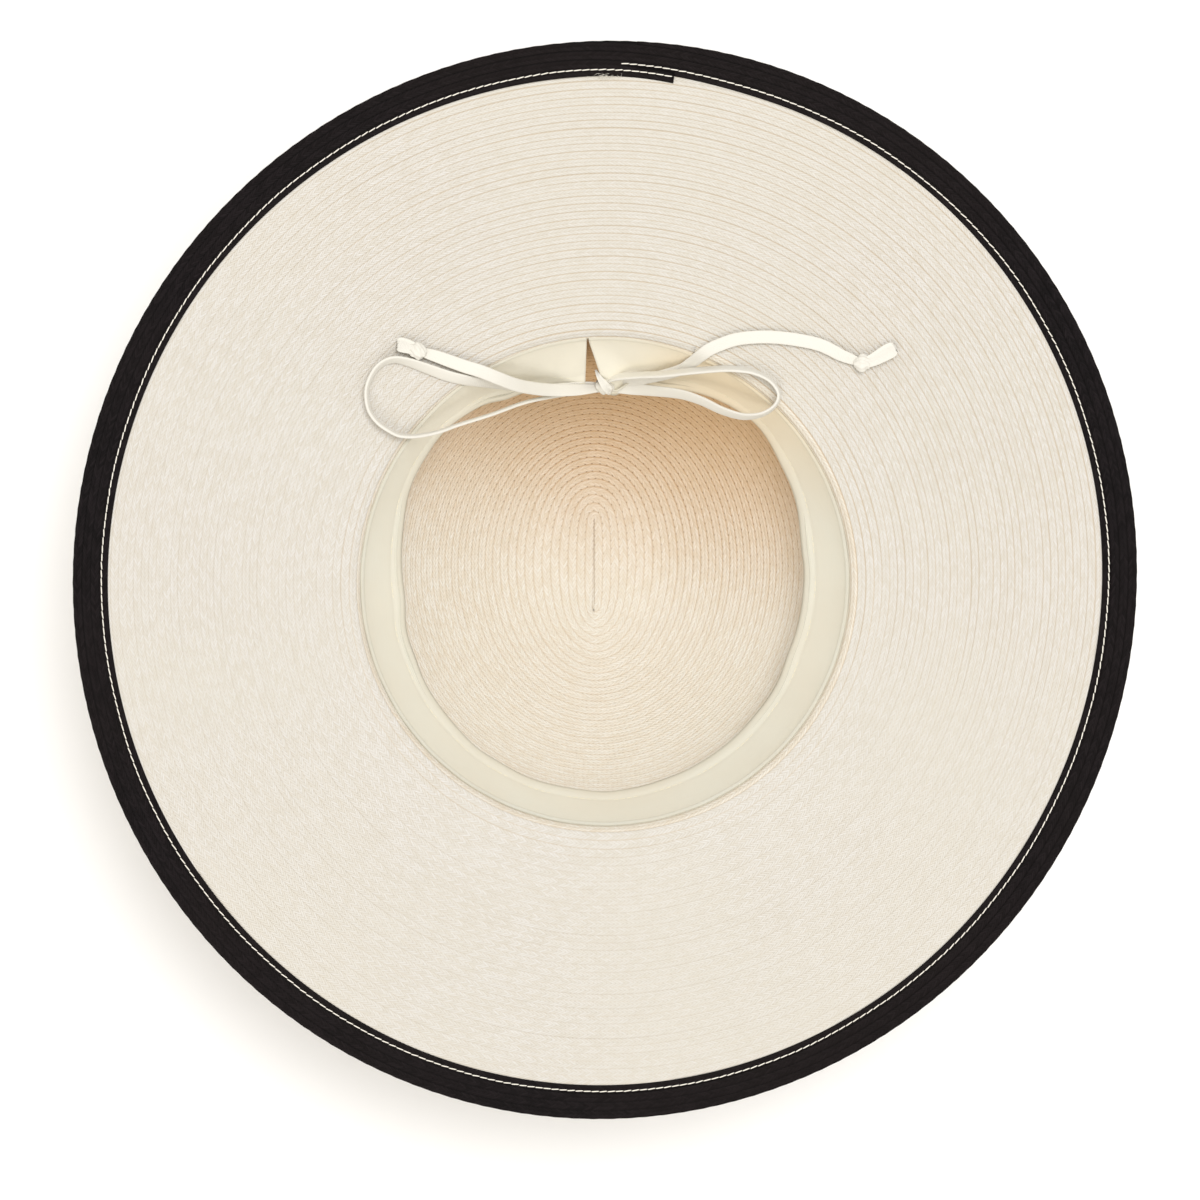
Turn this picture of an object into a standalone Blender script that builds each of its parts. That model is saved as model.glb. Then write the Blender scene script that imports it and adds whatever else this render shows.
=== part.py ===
# Wide-brim sun hat of sewn braid, lying on its crown with the head opening up.
# Metres, +Z up, +Y towards the back of the hat, origin under the middle of the crown.
import math

import bmesh
import bpy
from mathutils import Vector

# Driving dimensions
HEAD_RADIUS = 0.094          # inside of the crown where the sweatband is sewn in
CROWN_HEIGHT = 0.102         # surface to the inner edge of the brim
CROWN_FLAT_RADIUS = 0.026    # flat middle of the crown, which the hat lies on
TURN_RADIUS = 0.004          # bend from the crown's side into the brim
BRIM_RADIUS = 0.2035         # mean outer radius
BRIM_RISE = 0.014            # outer edge above the brim's inner edge
BRIM_OVAL = 0.0020           # how far the outline is from round, twice a turn
BRIM_LOBE = 0.0005           # and three times a turn
BRIM_SHIFT = 0.0005          # middle of the outline off the crown's axis
BRIM_WAVE = 0.0022           # height of the soft waves at the outer edge
BORDER_WIDTH = 0.013         # dark braid at the outer edge
STRAW_THICKNESS = 0.0018
BAND_DEPTH = 0.030
BAND_THICKNESS = 0.0012
BAND_LEAN = 0.0137           # mean distance that the band's free edge leans inward
BAND_LEAN_BACK = 0.0047      # more of it at the back, less at the front
BAND_LEAN_SIDE = 0.0014      # more of it at the two sides
BAND_FOLD = 0.0012           # depth of the soft folds along the free edge
SLIT_WIDTH = 0.0067          # between the band's ends at the free edge
STRING_DIAMETER = 0.0024     # the flat drawstring's section as a round one
BOW_KNOT_SIZE = (0.0094, 0.0056, 0.0080)
TAIL_KNOT_SIZE = (0.0064, 0.0056, 0.0036)
GAP = 0.0003                 # between pieces that touch

# Shape of the curves, as plain ratios
CROWN_SHOULDER = 1.4
CROWN_SIDE = 0.45
CROWN_SPLIT = 0.42           # share of the dome's depth where its tip meets its side
BAND_CURL = 1.6
OVAL_PHASE = math.radians(165)
LOBE_PHASE = math.radians(116)
SHIFT_ANGLE = math.radians(63)
SLIT_ANGLE = math.radians(94.4)
BAND_FOLDS = 17

# Resolution of the meshes
COLUMNS = 80
TIP_ROWS = 6
SIDE_ROWS = 5
TURN_ROWS = 3
BRIM_ROWS = 5
BORDER_ROWS = 2
BAND_ROWS = 5
STRING_STEP = 2.5            # diameters between two points along the string

# The string's route, chosen by hand, in millimetres
TAIL_LEFT_ROUTE = [
    (-3.7, 71.6, 72.8), (-10.1, 71.3, 75.6), (-18.7, 71.5, 81.2), (-26.1, 72.4, 88.0),
    (-33.5, 74.1, 95.5), (-40.5, 76.9, 101.5), (-47.3, 79.7, 104.6), (-53.4, 81.6, 105.2),
    (-58.7, 83.5, 105.5), (-64.0, 85.4, 105.7), (-67.3, 86.4, 105.8),
]
LOOP_LEFT_ROUTE = [
    (-4.2, 70.4, 68.6), (-12.3, 69.6, 71.0), (-23.6, 67.9, 77.0), (-31.8, 66.1, 82.0),
    (-43.0, 62.4, 88.5), (-55.7, 58.8, 95.0), (-63.7, 56.3, 99.5), (-72.0, 55.0, 103.5),
    (-78.0, 55.4, 105.6), (-82.2, 57.4, 106.4), (-86.7, 60.8, 106.9), (-89.8, 65.7, 107.2),
    (-90.5, 72.5, 107.4), (-88.6, 78.2, 107.4), (-85.2, 82.4, 107.2), (-80.3, 84.3, 106.6),
    (-74.6, 83.3, 105.9), (-67.8, 80.9, 105.0), (-60.5, 78.2, 104.0), (-54.5, 76.6, 102.6),
    (-49.5, 75.6, 99.4), (-43.5, 74.6, 94.0), (-36.5, 73.4, 87.2), (-24.0, 72.0, 78.4),
    (-13.9, 72.4, 73.2), (-4.2, 72.9, 69.8),
]
TAIL_RIGHT_ROUTE = [
    (6.6, 73.0, 69.6), (14.6, 75.0, 76.4), (23.9, 77.5, 84.4), (30.1, 79.8, 90.4),
    (33.6, 82.6, 96.0), (36.6, 85.4, 101.6), (39.4, 87.6, 103.8), (43.6, 89.6, 104.6),
    (50.4, 91.8, 105.2), (60.3, 92.6, 105.7), (70.9, 91.8, 106.3), (81.5, 89.6, 107.0),
    (89.4, 85.8, 107.5), (93.8, 84.1, 107.9),
]
LOOP_RIGHT_ROUTE = [
    (6.2, 73.2, 73.4), (13.9, 76.8, 81.6), (23.6, 78.8, 90.3), (32.8, 79.5, 96.5),
    (44.6, 80.4, 102.4), (52.4, 80.1, 105.2), (57.6, 78.9, 106.2), (62.5, 76.3, 106.4),
    (65.6, 72.5, 106.0), (66.0, 69.4, 105.4), (64.6, 66.4, 104.4), (61.3, 63.7, 102.8),
    (56.9, 61.7, 100.5), (51.8, 61.4, 97.8), (45.2, 63.4, 94.4), (37.4, 67.1, 90.2),
    (29.6, 69.8, 85.0), (18.4, 70.8, 76.0), (12.0, 70.6, 71.0), (6.1, 70.6, 67.8),
]
BOW_KNOT_PLACE = (1.2, 71.8, 70.5)
TAIL_KNOT_LEFT_PLACE = (-70.7, 87.3, 106.1)
TAIL_KNOT_RIGHT_PLACE = (97.4, 82.8, 108.4)

brim_slope = math.atan2(BRIM_RISE, BRIM_RADIUS - HEAD_RADIUS - TURN_RADIUS)
turn_height = CROWN_HEIGHT - TURN_RADIUS * math.cos(brim_slope)
brim_inner = HEAD_RADIUS + TURN_RADIUS * (1 - math.sin(brim_slope))


def millimetres(point):
    return Vector(point) * 0.001


def straw_material(name, colour, roughness):
    material = bpy.data.materials.new(name)
    material.use_nodes = True
    shader = material.node_tree.nodes["Principled BSDF"]
    shader.inputs["Base Color"].default_value = (*colour, 1)
    shader.inputs["Roughness"].default_value = roughness
    shader.inputs["Metallic"].default_value = 0
    return material


def add_object(name, data, material, parts):
    piece = bpy.data.objects.new(name, data)
    data.materials.append(material)
    parts.objects.link(piece)
    return piece


def crown_wall(share):
    """Inner radius and height of the crown's dome at a share of its depth."""
    shoulder = (1 - (1 - share) ** (1 / CROWN_SIDE)) ** (1 / CROWN_SHOULDER)
    radius = CROWN_FLAT_RADIUS + (HEAD_RADIUS - CROWN_FLAT_RADIUS) * shoulder
    return radius, STRAW_THICKNESS + (turn_height - STRAW_THICKNESS) * share


def wall_normal(share):
    """Unit normal on the outer side of the dome at a share of its depth."""
    nearby = 0.001
    return side_normal(crown_wall(share - nearby), crown_wall(share + nearby))


def side_normal(start, end):
    """Unit normal on the outer side of a piece of profile that runs up and outward."""
    step = (Vector(end) - Vector(start)).normalized()
    return Vector((step.y, -step.x))


def offset_profile(points, distance, first_normal, last_normal):
    """The profile moved outward by the wall, its corners on their bisectors."""
    normals = [Vector(first_normal)]
    for start, end in zip(points, points[1:]):
        normals.append(side_normal(start, end))
    moved = []
    for point, before, after in zip(points, normals, normals[1:]):
        bisector = before + after
        moved.append(Vector(point) + bisector * (distance / bisector.dot(before)))
    moved.append(Vector(points[-1]) + Vector(last_normal) * distance)
    return [tuple(point) for point in moved]


def turned_piece(name, profile, ring, material, parts):
    """A closed solid turned round Z: a ring, or a profile with both ends on the axis."""
    mesh = bpy.data.meshes.new(name)
    edges = [(index, index + 1) for index in range(len(profile) - 1)]
    if ring:
        edges.append((len(profile) - 1, 0))
    mesh.from_pydata([(radius, 0, height) for radius, height in profile], edges, [])
    piece = add_object(name, mesh, material, parts)
    screw = piece.modifiers.new("Turn", "SCREW")
    screw.steps = COLUMNS
    screw.render_steps = COLUMNS
    screw.use_merge_vertices = True
    screw.merge_threshold = 0.00005
    screw.use_smooth_shade = True
    return piece


def shell_piece(name, rows, closed, thickness, side, material, parts):
    """A wall of even thickness on a surface given as rows of points."""
    surface = bmesh.new()
    grid = [[surface.verts.new(point) for point in row] for row in rows]
    spans = len(rows[0]) if closed else len(rows[0]) - 1
    for inner, outer in zip(grid, grid[1:]):
        for column in range(spans):
            following = (column + 1) % len(inner)
            surface.faces.new((inner[column], outer[column], outer[following], inner[following]))
    mesh = bpy.data.meshes.new(name)
    surface.to_mesh(mesh)
    surface.free()
    mesh.shade_smooth()
    piece = add_object(name, mesh, material, parts)
    wall = piece.modifiers.new("Wall", "SOLIDIFY")
    wall.thickness = thickness
    wall.offset = side
    wall.use_even_offset = True
    return piece


def outline(angle):
    """Outer radius of the brim, which isn't quite round."""
    oval = BRIM_OVAL * math.cos(2 * angle - OVAL_PHASE)
    lobe = BRIM_LOBE * math.cos(3 * angle - LOBE_PHASE)
    shift = BRIM_SHIFT * math.cos(angle - SHIFT_ANGLE)
    return BRIM_RADIUS + oval + lobe + shift


def brim_height(radius, angle):
    """Height of the brim's upper side, a shallow cone with soft waves near the edge."""
    reach = (radius - brim_inner) / (outline(angle) - brim_inner)
    wave = math.cos(2 * angle - 0.6) + 0.5 * math.cos(3 * angle + 1.1)
    return (CROWN_HEIGHT + math.tan(brim_slope) * (radius - brim_inner)
            + BRIM_WAVE * wave * reach ** 2)


def brim_ring(angles, edge):
    """One ring of points on the brim, at the radius that edge gives for each angle."""
    ring = []
    for angle in angles:
        radius = edge(angle)
        ring.append((radius * math.cos(angle), radius * math.sin(angle),
                     brim_height(radius, angle)))
    return ring


def brim_strip(name, start, end, count, material, parts):
    """The brim's wall between two radii, each a function of the angle."""
    angles = [2 * math.pi * column / COLUMNS for column in range(COLUMNS)]
    rows = []
    for row in range(count + 1):
        share = row / count

        def edge(angle, share=share):
            return start(angle) + (end(angle) - start(angle)) * share
        rows.append(brim_ring(angles, edge))
    return shell_piece(name, rows, True, STRAW_THICKNESS, -1, material, parts)


def band_point(angle, share):
    """Middle of the sweatband's wall, share 0 at the seam and 1 at the free edge."""
    seam = HEAD_RADIUS - GAP - BAND_THICKNESS / 2
    lean = (BAND_LEAN + BAND_LEAN_BACK * math.sin(angle)
            + BAND_LEAN_SIDE * math.cos(2 * angle))
    fold = BAND_FOLD * share * (0.5 + 0.5 * math.cos(BAND_FOLDS * angle))
    radius = seam - lean * share ** BAND_CURL - fold
    return (radius * math.cos(angle), radius * math.sin(angle),
            turn_height - BAND_DEPTH * share)


def sweatband(material, parts):
    """A strip round the opening whose ends stand apart at the back, wider at the free edge."""
    rows = []
    for row in range(BAND_ROWS + 1):
        share = row / BAND_ROWS
        free_radius = HEAD_RADIUS - BAND_LEAN - BAND_LEAN_BACK
        parting = (2 * GAP + (SLIT_WIDTH - 2 * GAP) * share) / free_radius
        start = SLIT_ANGLE + parting * 0.1
        end = SLIT_ANGLE + 2 * math.pi - parting * 0.9
        angles = [start + (end - start) * column / COLUMNS for column in range(COLUMNS + 1)]
        rows.append([band_point(angle, share) for angle in angles])
    return shell_piece("sweatband", rows, False, BAND_THICKNESS, 0, material, parts)


def smooth_route(points, step):
    """Points at an even step along a smooth curve through the route's own points."""
    ends = [points[0] * 2 - points[1]] + points + [points[-1] * 2 - points[-2]]
    fine = [points[0]]
    for before, start, end, after in zip(ends, ends[1:], ends[2:], ends[3:]):
        for tick in range(1, 13):
            t = tick / 12
            fine.append(0.5 * (2 * start + (end - before) * t
                               + (2 * before - 5 * start + 4 * end - after) * t ** 2
                               + (3 * start - before - 3 * end + after) * t ** 3))
    lengths = [0]
    for start, end in zip(fine, fine[1:]):
        lengths.append(lengths[-1] + (end - start).length)
    count = max(2, round(lengths[-1] / step))
    even = []
    index = 0
    for tick in range(count + 1):
        target = lengths[-1] * tick / count
        while index < len(fine) - 2 and lengths[index + 1] < target:
            index += 1
        share = (target - lengths[index]) / (lengths[index + 1] - lengths[index])
        even.append(fine[index].lerp(fine[index + 1], share))
    return even


def string_piece(name, route, material, parts):
    curve = bpy.data.curves.new(name, "CURVE")
    curve.dimensions = "3D"
    curve.bevel_depth = STRING_DIAMETER / 2
    curve.bevel_resolution = 2
    curve.use_fill_caps = True
    points = smooth_route([millimetres(point) for point in route],
                          STRING_STEP * STRING_DIAMETER)
    spline = curve.splines.new("POLY")
    spline.points.add(len(points) - 1)
    for slot, point in zip(spline.points, points):
        slot.co = (*point, 1)
    return add_object(name, curve, material, parts)


def knot_piece(name, place, size, material, parts):
    mesh = bpy.data.meshes.new(name)
    ball = bmesh.new()
    bmesh.ops.create_uvsphere(ball, u_segments=12, v_segments=7, radius=0.5)
    bmesh.ops.scale(ball, vec=size, verts=ball.verts)
    ball.to_mesh(mesh)
    ball.free()
    mesh.shade_smooth()
    piece = add_object(name, mesh, material, parts)
    piece.location = millimetres(place)
    return piece


def crown_tip(material, parts):
    """The flat middle that the hat lies on and the lower part of the dome."""
    shares = [CROWN_SPLIT * (row / TIP_ROWS) ** 1.3 for row in range(TIP_ROWS + 1)]
    inner = [crown_wall(share) for share in shares]
    outer = offset_profile(inner, STRAW_THICKNESS, (0, -1), wall_normal(CROWN_SPLIT))
    profile = [(0, STRAW_THICKNESS)] + inner + outer[::-1] + [(0, 0)]
    return turned_piece("crown_tip", profile, False, material, parts)


def crown_side(material, parts):
    """The steep part of the dome and its bend into the brim."""
    first = CROWN_SPLIT + GAP / (turn_height - STRAW_THICKNESS)
    inner = [crown_wall(first + (1 - first) * row / SIDE_ROWS) for row in range(SIDE_ROWS + 1)]
    sweep = math.pi / 2 - brim_slope
    for row in range(1, TURN_ROWS + 1):
        angle = sweep * row / TURN_ROWS
        inner.append((HEAD_RADIUS + TURN_RADIUS * (1 - math.cos(angle)),
                      turn_height + TURN_RADIUS * math.sin(angle)))
    brim_normal = (math.sin(brim_slope), -math.cos(brim_slope))
    outer = offset_profile(inner, STRAW_THICKNESS, wall_normal(first), brim_normal)
    outer[0] = tuple(Vector(inner[0]) + wall_normal(first) * STRAW_THICKNESS)
    return turned_piece("crown_side", inner + outer[::-1], True, material, parts)


def build_hat():
    parts = bpy.data.collections.new("wide_brim_sun_hat")
    bpy.context.scene.collection.children.link(parts)
    straw = straw_material("natural_straw", (0.80, 0.72, 0.58), 0.75)
    dark = straw_material("dark_straw", (0.015, 0.012, 0.012), 0.6)
    cloth = straw_material("band_cloth", (0.78, 0.72, 0.54), 0.9)
    string = straw_material("string_cloth", (0.86, 0.82, 0.70), 0.85)

    crown_tip(straw, parts)
    crown_side(straw, parts)
    brim_strip("brim", lambda angle: brim_inner + GAP,
               lambda angle: outline(angle) - BORDER_WIDTH - GAP, BRIM_ROWS, straw, parts)
    brim_strip("edge_braid", lambda angle: outline(angle) - BORDER_WIDTH,
               outline, BORDER_ROWS, dark, parts)
    sweatband(cloth, parts)
    knot_piece("bow_knot", BOW_KNOT_PLACE, BOW_KNOT_SIZE, string, parts)
    string_piece("bow_loop_left", LOOP_LEFT_ROUTE, string, parts)
    string_piece("bow_loop_right", LOOP_RIGHT_ROUTE, string, parts)
    string_piece("bow_tail_left", TAIL_LEFT_ROUTE, string, parts)
    string_piece("bow_tail_right", TAIL_RIGHT_ROUTE, string, parts)
    knot_piece("tail_knot_left", TAIL_KNOT_LEFT_PLACE, TAIL_KNOT_SIZE, string, parts)
    knot_piece("tail_knot_right", TAIL_KNOT_RIGHT_PLACE, TAIL_KNOT_SIZE, string, parts)


for leftover in list(bpy.data.objects):
    bpy.data.objects.remove(leftover, do_unlink=True)
build_hat()
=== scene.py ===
import bpy
import math
import random
import numpy as np
from mathutils import Matrix, Vector


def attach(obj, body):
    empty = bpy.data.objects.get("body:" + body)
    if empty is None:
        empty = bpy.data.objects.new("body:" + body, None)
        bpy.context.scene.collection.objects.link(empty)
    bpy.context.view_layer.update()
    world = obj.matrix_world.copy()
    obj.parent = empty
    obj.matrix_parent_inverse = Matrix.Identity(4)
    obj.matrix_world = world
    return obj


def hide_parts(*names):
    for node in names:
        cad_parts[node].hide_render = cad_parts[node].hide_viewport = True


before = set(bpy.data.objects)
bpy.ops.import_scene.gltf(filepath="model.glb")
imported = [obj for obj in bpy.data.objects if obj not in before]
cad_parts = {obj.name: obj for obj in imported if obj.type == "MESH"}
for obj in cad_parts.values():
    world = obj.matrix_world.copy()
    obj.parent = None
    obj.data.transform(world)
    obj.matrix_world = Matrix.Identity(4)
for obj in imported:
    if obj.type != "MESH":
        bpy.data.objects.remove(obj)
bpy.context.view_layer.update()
random.seed(11)

# the photo looks down into the crown from a little behind and to the left of the axis
cameraSet = {
    "eye": (-0.0719, 0.1388, 1.602),
    "aim": (-0.0023, -0.0060, 0.102),
    "lens": 118.3,
}


def newObject(name, data):
    made = bpy.data.objects.new(name, data)
    bpy.context.scene.collection.objects.link(made)
    return made


def placeCamera(s):
    data = bpy.data.cameras.new("photoCamera")
    data.sensor_width = 36.0
    data.lens = s["lens"]
    data.clip_start = 0.05
    data.clip_end = 40.0
    cam = newObject("photoCamera", data)
    back = (Vector(s["eye"]) - Vector(s["aim"])).normalized()
    side = Vector((0, 1, 0)).cross(back).normalized()
    turn = Matrix((side, back.cross(side), back)).transposed().to_4x4()
    cam.matrix_world = Matrix.Translation(s["eye"]) @ turn
    bpy.context.scene.camera = cam


placeCamera(cameraSet)


def readTable(values, table, scale=1.0):  # values looked up in pairs of place and value
    return np.interp(values, [a for a, _ in table], [b * scale for _, b in table])


def unitRows(vectors):
    return vectors / np.linalg.norm(vectors, axis=1)[:, None]


def runLength(line):  # metres from the first point to each point
    return np.concatenate([[0], np.cumsum(np.linalg.norm(np.diff(line, axis=0), axis=1))])


def pointsAt(marks, dist, line):
    return np.stack([np.interp(marks, dist, line[:, i]) for i in range(3)], axis=1)


def polarPoints(radius, angle, height):
    return np.stack([radius * np.cos(angle), radius * np.sin(angle), height], axis=-1)


def shortTurn(angle):  # the same direction, from minus to plus half a turn
    return np.angle(np.exp(1j * angle))


def stripUv(along, across):
    along, across = np.broadcast_arrays(along[:, None], across)
    return np.stack([along, across], axis=-1).reshape(-1, 2)


# the hat's own sizes in metres, the same as its solids have
hat = {
    "headRadius": 0.094,
    "crownHeight": 0.102,
    "crownFlat": 0.026,
    "turnRadius": 0.004,
    "brimRadius": 0.2035,
    "brimRise": 0.014,
    "brimWave": 0.0022,
    "borderWidth": 0.013,
    "wall": 0.0018,
    "oval": 0.0020,
    "lobe": 0.0005,
    "shift": 0.0005,
    "startOval": 0.0172,  # half the length of the straight start at the crown's middle
    "roundAt": 0.145,  # metres over the straw to where the rows are round
    "squareFade": 0.012,  # metres over which the first rows lose their straight sides
    "dome": (0.45, 1.4),  # how full the dome is upwards and outwards
}
slope = math.atan2(hat["brimRise"], hat["brimRadius"] - hat["headRadius"] - hat["turnRadius"])
turnHeight = hat["crownHeight"] - hat["turnRadius"] * math.cos(slope)
brimInner = hat["headRadius"] + hat["turnRadius"] * (1 - math.sin(slope))


def outline(angle):
    return (hat["brimRadius"] + hat["oval"] * np.cos(2 * angle - math.radians(165))
            + hat["lobe"] * np.cos(3 * angle - math.radians(116))
            + hat["shift"] * np.cos(angle - math.radians(63)))


def brimHeight(radius, angle):
    reach = (radius - brimInner) / (outline(angle) - brimInner)
    wave = np.cos(2 * angle - 0.6) + 0.5 * np.cos(3 * angle + 1.1)
    return hat["crownHeight"] + math.tan(slope) * (radius - brimInner) + hat["brimWave"] * wave * reach ** 2


def crownProfile():
    up, out = hat["dome"]
    flat = 60
    share = np.linspace(0, 1, 600)[1:] ** 2.2
    shoulder = (1 - (1 - share) ** (1 / up)) ** (1 / out)
    bend = np.radians(np.linspace(180, 90 + math.degrees(slope), 30)[1:])
    radius = np.concatenate([
        np.linspace(0, hat["crownFlat"], flat),
        hat["crownFlat"] + (hat["headRadius"] - hat["crownFlat"]) * shoulder,
        hat["headRadius"] + hat["turnRadius"] * (1 + np.cos(bend)),
    ])
    height = np.concatenate([
        np.full(flat, hat["wall"]),
        hat["wall"] + (turnHeight - hat["wall"]) * share,
        turnHeight + hat["turnRadius"] * np.sin(bend),
    ])
    along = np.concatenate([[0], np.cumsum(np.hypot(np.diff(radius), np.diff(height)))])
    even = np.linspace(0, along[-1], 900)
    radius, height = np.interp(even, along, radius), np.interp(even, along, height)
    dr, dz = np.gradient(radius, even), np.gradient(height, even)
    size = np.hypot(dr, dz)
    return even, radius, height, -dz / size, dr / size


profile = crownProfile()
crownEnd = profile[0][-1]
brimLength = (hat["brimRadius"] - hat["borderWidth"] - brimInner) / math.cos(slope)
borderStart = crownEnd + brimLength


def strawPoint(along, angle, lift):  # along = metres over the straw from the crown's middle
    along, angle, lift = np.broadcast_arrays(along, angle, lift)
    stretch = hat["startOval"] * np.clip(1 - (along / hat["roundAt"]) ** 2, 0, 1)
    square = 0.5 + 2.5 * np.exp(-np.maximum(along, 0) / hat["squareFade"])
    flatX = along * np.cos(angle)
    flatY = along * np.sin(angle) + stretch * np.tanh(square * np.sin(angle)) / np.tanh(square)
    reach = np.hypot(flatX, flatY)
    inCrown = along < crownEnd
    turned = np.where(inCrown, np.arctan2(flatY, flatX), angle)
    outer = outline(turned)
    inBrim = np.clip((along - crownEnd) / brimLength, 0, 1)
    beyond = np.maximum(along - borderStart, 0) * math.cos(slope)
    radius = brimInner + inBrim * (outer - hat["borderWidth"] - brimInner) + beyond
    brim = (radius, brimHeight(radius, turned), -math.sin(slope), math.cos(slope))
    radius, height, outward, upward = (np.where(inCrown, np.interp(reach, profile[0], column), onBrim)
                                       for column, onBrim in zip(profile[1:], brim))
    return polarPoints(radius + outward * lift, turned, height + upward * lift)


def toPiece(name, points, faces, uv, uvName="clothUv"):
    mesh = bpy.data.meshes.new(name)
    mesh.from_pydata(points.reshape(-1, 3).tolist(), [], faces)
    layer = mesh.uv_layers.new(name=uvName)
    corner = np.zeros(len(mesh.loops), dtype=np.int64)
    mesh.loops.foreach_get("vertex_index", corner)
    layer.data.foreach_set("uv", np.asarray(uv, dtype=np.float32)[corner].ravel())
    mesh.polygons.foreach_set("use_smooth", [True] * len(mesh.polygons))
    mesh.update()
    piece = newObject(name, mesh)
    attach(piece, "root")
    return piece


def ringFaces(count, around, first=0):  # stations of a closed section, turned to face out, with both ends closed
    grid = first + np.arange(count * around).reshape(count, around)
    ahead = np.roll(grid, -1, axis=1)
    faces = np.stack([grid[:-1], ahead[:-1], ahead[1:], grid[1:]], axis=-1).reshape(-1, 4).tolist()
    return faces + [grid[0][::-1].tolist(), grid[-1].tolist()]


# the drawstring's bow
tape = {
    "width": 0.0050,
    "thick": 0.0007,
    "plump": 0.55,  # how much thicker it looks where it stands on edge
    "spacing": 0.0013,
    "bunch": (0.006, 0.004),  # metres over which it bunches up into the knots at its two ends
    "pleat": 0.0007,
    "clear": 0.00055,  # least height of its middle over the straw
    "shift": (-0.45, 1.9, 0.0),  # mm, the whole bow lies a little further back than its solids
}
routes = {  # mm from the knot outwards, tilt in degrees: 0 lies flat, 90 stands on edge
    "bowTailLeft": {
        "node": "bow_tail_left", "end": "knot", "curl": 0.0002, "gather": (0.55, 0.62),
        "points": [
            (0.2, 71.9, 71.6), (-3.7, 71.6, 72.8), (-10.1, 71.3, 75.6), (-18.7, 71.5, 81.2), (-26.1, 72.4, 88.0),
            (-33.5, 74.1, 95.5), (-40.5, 76.9, 101.5), (-47.3, 79.7, 104.6), (-53.4, 81.6, 105.2),
            (-58.7, 83.5, 105.5), (-64.0, 85.4, 105.7), (-67.3, 86.4, 105.8), (-70.0, 87.2, 106.0)],
        "tilt": [42, 30, 16, 8, 2, 0, -2, -4, -2, 0, 4, 8, 10],
    },
    "bowLoopLeft": {
        "node": "bow_loop_left", "end": "object", "curl": 0.0003, "gather": (0.6, 0.6),
        "points": [
            (0.0, 71.0, 68.4), (-4.2, 70.4, 68.6), (-12.3, 69.6, 71.0), (-23.6, 67.9, 77.0), (-31.8, 66.1, 82.0),
            (-43.0, 62.4, 88.5), (-55.7, 58.8, 95.0), (-63.7, 56.3, 99.5), (-72.0, 55.0, 103.5), (-78.0, 55.4, 105.6),
            (-82.2, 57.4, 106.4), (-86.7, 60.8, 106.9), (-89.8, 65.7, 107.2), (-90.5, 72.5, 107.4),
            (-88.6, 78.2, 107.4), (-85.2, 82.4, 107.2), (-80.3, 84.3, 106.6), (-74.6, 83.3, 105.9),
            (-67.8, 80.9, 105.0), (-60.5, 78.2, 104.0), (-54.5, 76.6, 102.6), (-49.5, 75.6, 99.4),
            (-43.5, 74.6, 94.0), (-36.5, 73.4, 87.2), (-24.0, 72.0, 78.4), (-13.9, 72.4, 73.2), (-4.2, 72.9, 69.8),
            (0.0, 72.4, 69.0)],
        "tilt": [
            62, 74, 83, 87, 88, 88, 87, 86, 85, 84, 83, 82, 81, 79, 75, 70, 62, 50, 40, 34, 36, 42, 48, 50, 50, 50,
            50, 50],
    },
    "bowTailRight": {
        "node": "bow_tail_right", "end": "knot", "curl": 0.0002, "gather": (0.55, 0.62),
        "points": [
            (2.4, 72.2, 68.4), (6.6, 73.0, 69.6), (14.6, 75.0, 76.4), (23.9, 77.5, 84.4), (30.1, 79.8, 90.4),
            (33.6, 82.6, 96.0), (36.6, 85.4, 101.6), (39.4, 87.6, 103.8), (43.6, 89.6, 104.6), (50.4, 91.8, 105.2),
            (60.3, 92.6, 105.7), (70.9, 91.8, 106.3), (81.5, 89.6, 107.0), (89.4, 85.8, 107.5), (93.8, 84.1, 107.9),
            (96.4, 83.2, 108.2)],
        "tilt": [46, 42, 40, 32, 24, 16, 10, 6, 4, 2, 0, 0, 4, 10, 16, 20],
    },
    "bowLoopRight": {
        "node": "bow_loop_right", "end": "object", "curl": 0.0003, "gather": (0.8, 0.8),
        "points": [
            (2.2, 75.0, 74.2), (5.2, 76.2, 77.0), (13.5, 77.2, 83.3), (22.4, 77.8, 90.0), (32.8, 79.2, 96.5),
            (44.6, 80.4, 102.4), (52.4, 80.1, 105.2), (57.6, 78.9, 106.2), (62.5, 76.3, 106.4), (65.6, 72.5, 106.0),
            (66.0, 69.4, 105.4), (64.6, 66.4, 104.4), (61.3, 63.7, 102.8), (57.1, 62.3, 100.5), (52.0, 62.2, 97.8),
            (45.2, 64.2, 94.4), (37.4, 67.8, 90.2), (29.6, 70.1, 85.0), (18.4, 71.1, 76.0), (12.0, 71.5, 71.6),
            (6.1, 72.1, 69.4), (2.4, 72.4, 69.0)],
        "tilt": [
            -50, -62, -66, -68, -68, -68, -70, -72, -76, -78, -78, -76, -72, -66, -60, -56, -50, -42, -32, -20, -10,
            -8],
    },
}


def evenLine(points, spacing):  # a smooth line through the points, and where each point falls on it
    pts = np.array(points) / 1000
    ext = np.vstack([2 * pts[0] - pts[1], pts, 2 * pts[-1] - pts[-2]])
    steps = 12
    part = np.linspace(0, 1, steps, endpoint=False)[:, None]
    runs = []
    for a, b, c, d in zip(ext[:-3], ext[1:-2], ext[2:-1], ext[3:]):
        runs.append(0.5 * (2 * b + (c - a) * part + (2 * a - 5 * b + 4 * c - d) * part ** 2
                           + (3 * b - a - 3 * c + d) * part ** 3))
    line = np.vstack(runs + [pts[-1:]])
    dist = runLength(line)
    even = np.linspace(0, dist[-1], max(6, round(dist[-1] / spacing)) + 1)
    return pointsAt(even, dist, line), even, dist[::steps]


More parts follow.
